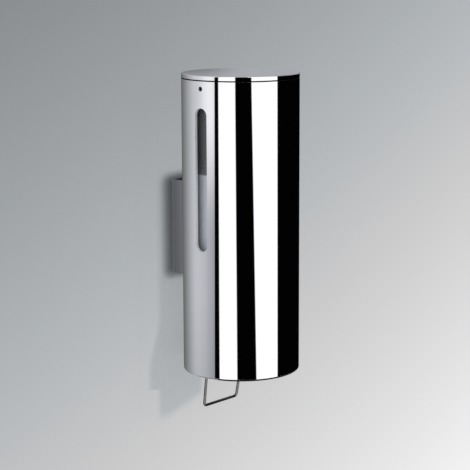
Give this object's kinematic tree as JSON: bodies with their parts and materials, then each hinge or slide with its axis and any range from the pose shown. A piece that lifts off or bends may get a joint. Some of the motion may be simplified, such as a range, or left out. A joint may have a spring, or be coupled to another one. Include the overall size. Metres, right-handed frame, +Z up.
{
  "type": "wall mounted soap dispenser",
  "caption": "Chromed tubular soap dispenser on a wall bracket, with a lift-off lid, a sight slot, a clear reservoir and a piston pump worked by a wire bail below.",
  "frame": {"origin": "middle of the wall plate's two screw holes, on the wall", "axes": "+X to the right seen from the room, +Y into the wall, +Z up; the front faces -Y"},
  "size_m": [0.085, 0.094, 0.2483],
  "materials": {
    "chrome_shell": "polished chrome plate on steel tube",
    "chrome_lid": "polished chrome plate, turned",
    "chrome_bracket": "chrome plated zinc casting",
    "chrome_wire": "polished chrome plate on drawn wire",
    "chrome_nozzle": "chrome plated brass, turned",
    "plate_aluminium": "extruded, satin",
    "sheet_steel": "stainless sheet, fine brushing",
    "screw_steel": "stainless screws, bright",
    "grub_steel": "blackened hardened steel",
    "spring_steel": "drawn spring wire",
    "ball_steel": "polished stainless ball",
    "pump_white": "moulded acetal, natural white",
    "guide_ivory": "moulded acetal, ivory",
    "nut_grey": "moulded nylon, grey",
    "fork_grey": "glass filled nylon, dark grey",
    "reservoir_clear": "clear polycarbonate",
    "soap_liquid": "translucent liquid soap",
    "seal_black": "nitrile rubber, matt",
    "valve_silicone": "translucent silicone"
  },
  "bodies": {
    "housing": {"wall_plate": "plate_aluminium", "bracket_housing": "chrome_bracket", "bracket_grub_screw": "grub_steel", "shell_screws": "screw_steel", "shell": "chrome_shell", "ledge_ring": "sheet_steel", "base_plate": "sheet_steel", "base_plate_screws": "screw_steel", "reservoir": "reservoir_clear", "reservoir_seal": "seal_black", "soap_fill": "soap_liquid", "pump_body": "pump_white", "pump_nut": "nut_grey", "stem_guide": "guide_ivory", "inlet_cage": "guide_ivory", "inlet_spring": "spring_steel", "return_spring": "spring_steel", "lever_bracket": "sheet_steel", "lever_bracket_screws": "screw_steel", "lever_pin": "screw_steel", "lever_pin_clips": "spring_steel"},
    "lid": {"lid": "chrome_lid", "lid_seal": "seal_black"},
    "lid_lock": {"lid_lock_screw": "grub_steel"},
    "inlet_valve": {"inlet_ball": "ball_steel"},
    "plunger": {"plunger": "pump_white", "piston_seal": "seal_black", "lift_collar": "screw_steel", "nozzle_cap": "chrome_nozzle", "drip_valve": "valve_silicone"},
    "lever": {"lever_fork": "fork_grey", "wire_bail": "chrome_wire"}
  },
  "joints": [
    {"name": "lever_swing", "type": "hinge", "parent": "housing", "child": "lever", "pos_m": [0, -0.0785, -0.09275], "axis": [1, 0, 0], "range_deg": [0, 17]},
    {"name": "plunger_slide", "type": "slide", "parent": "housing", "child": "plunger", "axis": [0, 0, 1], "range_m": [0, 0.0079], "stiffness_N_per_m": 350, "springref_m": -0.008, "deforming": ["return_spring"]},
    {"name": "lid_lift", "type": "slide", "parent": "housing", "child": "lid", "axis": [0, 0, 1], "range_m": [0, 0.04]},
    {"name": "lid_lock_turn", "type": "slide", "parent": "lid", "child": "lid_lock", "axis": [-1, 0, 0], "range_m": [0, 0.0016]},
    {"name": "inlet_lift", "type": "slide", "parent": "housing", "child": "inlet_valve", "axis": [0, 0, -1], "range_m": [0, 0.0015], "stiffness_N_per_m": 40, "springref_m": -0.002, "deforming": ["inlet_spring"]}
  ],
  "couplings": [
    {"joint": "lever_swing", "follows": "plunger_slide", "rad_per_m": 37.174}
  ]
}
